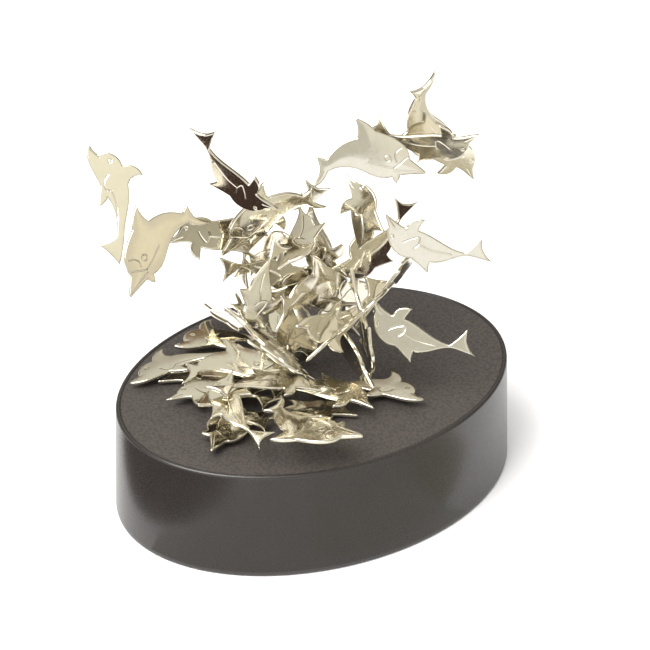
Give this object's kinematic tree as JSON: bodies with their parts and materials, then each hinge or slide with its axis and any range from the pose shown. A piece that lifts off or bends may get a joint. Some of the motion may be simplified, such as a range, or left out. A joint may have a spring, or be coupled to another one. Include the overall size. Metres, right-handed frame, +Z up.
{
  "type": "magnetic desk sculpture",
  "caption": "Oval black base with a magnet inside; loose nickel-plated steel dolphins cling to it and to each other in a branching pile",
  "frame": {"origin": "middle of the felt pad's underside, on the table", "axes": "+Z up, +X along the oval base's long axis, +Y to the back"},
  "size_m": [0.112, 0.0825, 0.1072],
  "materials": {
    "base_shell": "black, fine leather grain on top, satin sides",
    "magnet": "ground ferrite",
    "keeper_plate": "zinc plated",
    "magnet_clamp": "moulded",
    "clamp_screws": "zinc plated",
    "bottom_cover": "moulded",
    "cover_screws": "zinc plated",
    "felt_pad": "felt",
    "dolphin_steel": "polished nickel plate over punched steel"
  },
  "bodies": {
    "base": {"base_shell": "base_shell", "magnet": "magnet", "keeper_plate": "keeper_plate", "magnet_clamp": "magnet_clamp", "clamp_screws": "clamp_screws", "bottom_cover": "bottom_cover", "cover_screws": "cover_screws", "felt_pad": "felt_pad"},
    "left_arm_tip_dolphin": {"left_arm_tip_dolphin": "dolphin_steel"},
    "left_arm_leaper_dolphin": {"left_arm_leaper_dolphin": "dolphin_steel"},
    "left_arm_middle_dolphin": {"left_arm_middle_dolphin": "dolphin_steel"},
    "left_arm_root_dolphin": {"left_arm_root_dolphin": "dolphin_steel"},
    "left_arm_brace_dolphin": {"left_arm_brace_dolphin": "dolphin_steel"},
    "left_back_stay_dolphin": {"left_back_stay_dolphin": "dolphin_steel"},
    "upper_left_diver_dolphin": {"upper_left_diver_dolphin": "dolphin_steel"},
    "crown_back_dolphin": {"crown_back_dolphin": "dolphin_steel"},
    "crown_front_dolphin": {"crown_front_dolphin": "dolphin_steel"},
    "left_pillar_dolphin": {"left_pillar_dolphin": "dolphin_steel"},
    "centre_leaper_dolphin": {"centre_leaper_dolphin": "dolphin_steel"},
    "centre_left_dolphin": {"centre_left_dolphin": "dolphin_steel"},
    "centre_keel_dolphin": {"centre_keel_dolphin": "dolphin_steel"},
    "right_arm_leaper_dolphin": {"right_arm_leaper_dolphin": "dolphin_steel"},
    "right_arm_post_dolphin": {"right_arm_post_dolphin": "dolphin_steel"},
    "right_arm_tip_dolphin": {"right_arm_tip_dolphin": "dolphin_steel"},
    "right_arm_end_dolphin": {"right_arm_end_dolphin": "dolphin_steel"},
    "right_arm_back_dolphin": {"right_arm_back_dolphin": "dolphin_steel"},
    "right_shoulder_dolphin": {"right_shoulder_dolphin": "dolphin_steel"},
    "right_flyer_dolphin": {"right_flyer_dolphin": "dolphin_steel"},
    "right_leaner_dolphin": {"right_leaner_dolphin": "dolphin_steel"},
    "front_strut_low_dolphin": {"front_strut_low_dolphin": "dolphin_steel"},
    "front_strut_high_dolphin": {"front_strut_high_dolphin": "dolphin_steel"},
    "right_stander_dolphin": {"right_stander_dolphin": "dolphin_steel"},
    "right_stander_back_dolphin": {"right_stander_back_dolphin": "dolphin_steel"},
    "centre_right_dolphin": {"centre_right_dolphin": "dolphin_steel"},
    "left_strut_front_dolphin": {"left_strut_front_dolphin": "dolphin_steel"},
    "left_strut_back_dolphin": {"left_strut_back_dolphin": "dolphin_steel"},
    "right_flat_dolphin": {"right_flat_dolphin": "dolphin_steel"},
    "front_leaper_dolphin": {"front_leaper_dolphin": "dolphin_steel"},
    "left_flat_dolphin": {"left_flat_dolphin": "dolphin_steel"},
    "left_heap_top_dolphin": {"left_heap_top_dolphin": "dolphin_steel"},
    "left_heap_low_dolphin": {"left_heap_low_dolphin": "dolphin_steel"},
    "left_rear_flat_dolphin": {"left_rear_flat_dolphin": "dolphin_steel"},
    "heap_wide_dolphin": {"heap_wide_dolphin": "dolphin_steel"},
    "heap_middle_dolphin": {"heap_middle_dolphin": "dolphin_steel"},
    "heap_low_dolphin": {"heap_low_dolphin": "dolphin_steel"},
    "front_left_leaper_dolphin": {"front_left_leaper_dolphin": "dolphin_steel"},
    "front_left_swimmer_dolphin": {"front_left_swimmer_dolphin": "dolphin_steel"},
    "front_middle_dolphin": {"front_middle_dolphin": "dolphin_steel"},
    "heap_right_dolphin": {"heap_right_dolphin": "dolphin_steel"},
    "rear_stander_right_dolphin": {"rear_stander_right_dolphin": "dolphin_steel"},
    "rear_leaper_dolphin": {"rear_leaper_dolphin": "dolphin_steel"},
    "rear_stander_left_dolphin": {"rear_stander_left_dolphin": "dolphin_steel"},
    "rear_right_low_dolphin": {"rear_right_low_dolphin": "dolphin_steel"},
    "rear_left_low_dolphin": {"rear_left_low_dolphin": "dolphin_steel"},
    "rear_flat_dolphin": {"rear_flat_dolphin": "dolphin_steel"}
  },
  "joints": [
    {"name": "left_arm_tip_pull", "type": "slide", "parent": "left_arm_leaper_dolphin", "child": "left_arm_tip_dolphin", "axis": [-0.6667, 0.3333, 0.6667], "range_m": [0, 0.015]},
    {"name": "left_arm_leaper_pull", "type": "slide", "parent": "left_arm_middle_dolphin", "child": "left_arm_leaper_dolphin", "axis": [-0.6667, 0.3333, 0.6667], "range_m": [0, 0.015]},
    {"name": "left_arm_middle_pull", "type": "slide", "parent": "left_arm_root_dolphin", "child": "left_arm_middle_dolphin", "axis": [-0.6667, 0.3333, 0.6667], "range_m": [0, 0.015]},
    {"name": "left_arm_root_pull", "type": "slide", "parent": "base", "child": "left_arm_root_dolphin", "axis": [0.5118, 0.024, 0.8588], "range_m": [0, 0.005]},
    {"name": "left_arm_brace_pull", "type": "slide", "parent": "base", "child": "left_arm_brace_dolphin", "axis": [-0.4082, 0.4082, 0.8165], "range_m": [0, 0.015]},
    {"name": "left_back_stay_pull", "type": "slide", "parent": "base", "child": "left_back_stay_dolphin", "axis": [0, 1, 0], "range_m": [0, 0.007]},
    {"name": "upper_left_diver_pull", "type": "slide", "parent": "base", "child": "upper_left_diver_dolphin", "axis": [-0.4082, 0.4082, 0.8165], "range_m": [0, 0.015]},
    {"name": "crown_back_pull", "type": "slide", "parent": "base", "child": "crown_back_dolphin", "axis": [-0.4472, -0.8944, 0], "range_m": [0, 0.009]},
    {"name": "crown_front_pull", "type": "slide", "parent": "base", "child": "crown_front_dolphin", "axis": [0.22, 0.4121, 0.8842], "range_m": [0, 0.001]},
    {"name": "left_pillar_pull", "type": "slide", "parent": "base", "child": "left_pillar_dolphin", "axis": [-0.4472, 0, 0.8944], "range_m": [0, 0.015]},
    {"name": "centre_leaper_pull", "type": "slide", "parent": "base", "child": "centre_leaper_dolphin", "axis": [1, 0, 0], "range_m": [0, 0.001]},
    {"name": "centre_left_pull", "type": "slide", "parent": "base", "child": "centre_left_dolphin", "axis": [-0.8165, 0.4082, 0.4082], "range_m": [0, 0.002]},
    {"name": "centre_keel_pull", "type": "slide", "parent": "base", "child": "centre_keel_dolphin", "axis": [-0.5431, 0.318, 0.7771], "range_m": [0, 0.001]},
    {"name": "right_arm_leaper_pull", "type": "slide", "parent": "base", "child": "right_arm_leaper_dolphin", "axis": [0.4082, 0.4082, 0.8165], "range_m": [0, 0.015]},
    {"name": "right_arm_post_pull", "type": "slide", "parent": "base", "child": "right_arm_post_dolphin", "axis": [0.5774, 0.5774, 0.5774], "range_m": [0, 0.015]},
    {"name": "right_arm_tip_pull", "type": "slide", "parent": "right_arm_end_dolphin", "child": "right_arm_tip_dolphin", "axis": [0.6667, 0.3333, 0.6667], "range_m": [0, 0.015]},
    {"name": "right_arm_end_pull", "type": "slide", "parent": "right_arm_back_dolphin", "child": "right_arm_end_dolphin", "axis": [0.8944, 0.4472, 0], "range_m": [0, 0.015]},
    {"name": "right_arm_back_pull", "type": "slide", "parent": "right_arm_leaper_dolphin", "child": "right_arm_back_dolphin", "axis": [0.7071, 0, 0.7071], "range_m": [0, 0.015]},
    {"name": "right_shoulder_pull", "type": "slide", "parent": "base", "child": "right_shoulder_dolphin", "axis": [0.8944, -0.4472, 0], "range_m": [0, 0.015]},
    {"name": "right_flyer_pull", "type": "slide", "parent": "right_shoulder_dolphin", "child": "right_flyer_dolphin", "axis": [0.6667, -0.3333, 0.6667], "range_m": [0, 0.015]},
    {"name": "right_leaner_pull", "type": "slide", "parent": "base", "child": "right_leaner_dolphin", "axis": [0.7071, -0.7071, 0], "range_m": [0, 0.015]},
    {"name": "front_strut_low_pull", "type": "slide", "parent": "base", "child": "front_strut_low_dolphin", "axis": [0, -0.8944, 0.4472], "range_m": [0, 0.015]},
    {"name": "front_strut_high_pull", "type": "slide", "parent": "base", "child": "front_strut_high_dolphin", "axis": [1, 0, 0], "range_m": [0, 0.015]},
    {"name": "right_stander_pull", "type": "slide", "parent": "base", "child": "right_stander_dolphin", "axis": [-0.979, 0, 0.204], "range_m": [0, 0.002]},
    {"name": "right_stander_back_pull", "type": "slide", "parent": "base", "child": "right_stander_back_dolphin", "axis": [-0.145, 0.4891, 0.8601], "range_m": [0, 0.002]},
    {"name": "centre_right_pull", "type": "slide", "parent": "base", "child": "centre_right_dolphin", "axis": [0.4831, 0.4831, 0.7302], "range_m": [0, 0.005]},
    {"name": "left_strut_front_pull", "type": "slide", "parent": "base", "child": "left_strut_front_dolphin", "axis": [-0.8944, -0.4472, 0], "range_m": [0, 0.015]},
    {"name": "left_strut_back_pull", "type": "slide", "parent": "base", "child": "left_strut_back_dolphin", "axis": [-0.6667, 0.3333, 0.6667], "range_m": [0, 0.015]},
    {"name": "right_flat_pull", "type": "slide", "parent": "base", "child": "right_flat_dolphin", "axis": [0.4472, -0.8944, 0], "range_m": [0, 0.015]},
    {"name": "front_leaper_pull", "type": "slide", "parent": "base", "child": "front_leaper_dolphin", "axis": [-0.4472, -0.8944, 0], "range_m": [0, 0.015]},
    {"name": "left_flat_pull", "type": "slide", "parent": "base", "child": "left_flat_dolphin", "axis": [-0.8944, 0.4472, 0], "range_m": [0, 0.015]},
    {"name": "left_heap_top_pull", "type": "slide", "parent": "base", "child": "left_heap_top_dolphin", "axis": [-1, 0, 0], "range_m": [0, 0.015]},
    {"name": "left_heap_low_pull", "type": "slide", "parent": "base", "child": "left_heap_low_dolphin", "axis": [0.4472, 0.8944, 0], "range_m": [0, 0.008]},
    {"name": "left_rear_flat_pull", "type": "slide", "parent": "base", "child": "left_rear_flat_dolphin", "axis": [-0.4472, 0.8944, 0], "range_m": [0, 0.015]},
    {"name": "heap_wide_pull", "type": "slide", "parent": "base", "child": "heap_wide_dolphin", "axis": [-0.9112, 0.4061, 0.07], "range_m": [0, 0.015]},
    {"name": "heap_middle_pull", "type": "slide", "parent": "base", "child": "heap_middle_dolphin", "axis": [-0.8165, -0.4082, 0.4082], "range_m": [0, 0.015]},
    {"name": "heap_low_pull", "type": "slide", "parent": "base", "child": "heap_low_dolphin", "axis": [-0.7869, -0.6169, 0.012], "range_m": [0, 0.003]},
    {"name": "front_left_leaper_pull", "type": "slide", "parent": "base", "child": "front_left_leaper_dolphin", "axis": [-0.4472, -0.8944, 0], "range_m": [0, 0.015]},
    {"name": "front_left_swimmer_pull", "type": "slide", "parent": "base", "child": "front_left_swimmer_dolphin", "axis": [-0.8944, -0.4472, 0], "range_m": [0, 0.015]},
    {"name": "front_middle_pull", "type": "slide", "parent": "base", "child": "front_middle_dolphin", "axis": [-0.4472, -0.8944, 0], "range_m": [0, 0.015]},
    {"name": "heap_right_pull", "type": "slide", "parent": "base", "child": "heap_right_dolphin", "axis": [-0.4472, -0.8944, 0], "range_m": [0, 0.015]},
    {"name": "rear_stander_right_pull", "type": "slide", "parent": "base", "child": "rear_stander_right_dolphin", "axis": [0.808, -0.589, 0.011], "range_m": [0, 0.002]},
    {"name": "rear_leaper_pull", "type": "slide", "parent": "base", "child": "rear_leaper_dolphin", "axis": [0.2861, -0.9492, 0.131], "range_m": [0, 0.004]},
    {"name": "rear_stander_left_pull", "type": "slide", "parent": "base", "child": "rear_stander_left_dolphin", "axis": [0.7047, -0.4398, 0.5568], "range_m": [0, 0.002]},
    {"name": "rear_right_low_pull", "type": "slide", "parent": "base", "child": "rear_right_low_dolphin", "axis": [0.7071, 0.7071, 0], "range_m": [0, 0.015]},
    {"name": "rear_left_low_pull", "type": "slide", "parent": "base", "child": "rear_left_low_dolphin", "axis": [-0.4082, 0.8165, 0.4082], "range_m": [0, 0.015]},
    {"name": "rear_flat_pull", "type": "slide", "parent": "base", "child": "rear_flat_dolphin", "axis": [-0.5348, 0.8447, 0.023], "range_m": [0, 0.006]}
  ]
}
